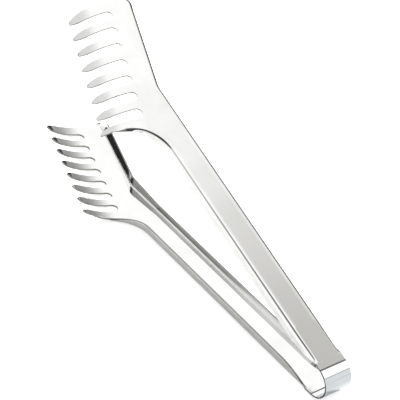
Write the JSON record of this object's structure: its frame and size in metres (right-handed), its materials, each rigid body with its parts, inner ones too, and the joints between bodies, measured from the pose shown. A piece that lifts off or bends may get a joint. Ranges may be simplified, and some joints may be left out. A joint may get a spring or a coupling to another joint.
{
  "type": "spaghetti tongs",
  "caption": "Open spaghetti tongs of bent stainless sheet: mirrored channel arms with curled comb heads, joined by a springy bow and lying on one arm.",
  "frame": {"origin": "on the lower arm's outer face, on the handle's centre line, 75 mm in front of the start of the bow", "axes": "+X along the lower arm from the bow to the comb, +Y towards the teeth, +Z the way the tongs open, away from the table"},
  "size_m": [0.2153, 0.0512, 0.0827],
  "materials": {
    "satin_steel": "satin stainless sheet",
    "polished_steel": "polished stainless sheet"
  },
  "bodies": {
    "lower_arm": {"lower_arm": "satin_steel", "spring_bow": "polished_steel"},
    "upper_arm": {"upper_arm": "satin_steel"}
  },
  "joints": [
    {"name": "squeeze", "type": "hinge", "parent": "lower_arm", "child": "upper_arm", "pos_m": [-0.0806, 0, 0.00757], "axis": [0, 1, 0], "range_deg": [0, 17.8], "stiffness_Nm_per_rad": 4, "springref_deg": -0.57, "deforming": ["spring_bow"]}
  ]
}
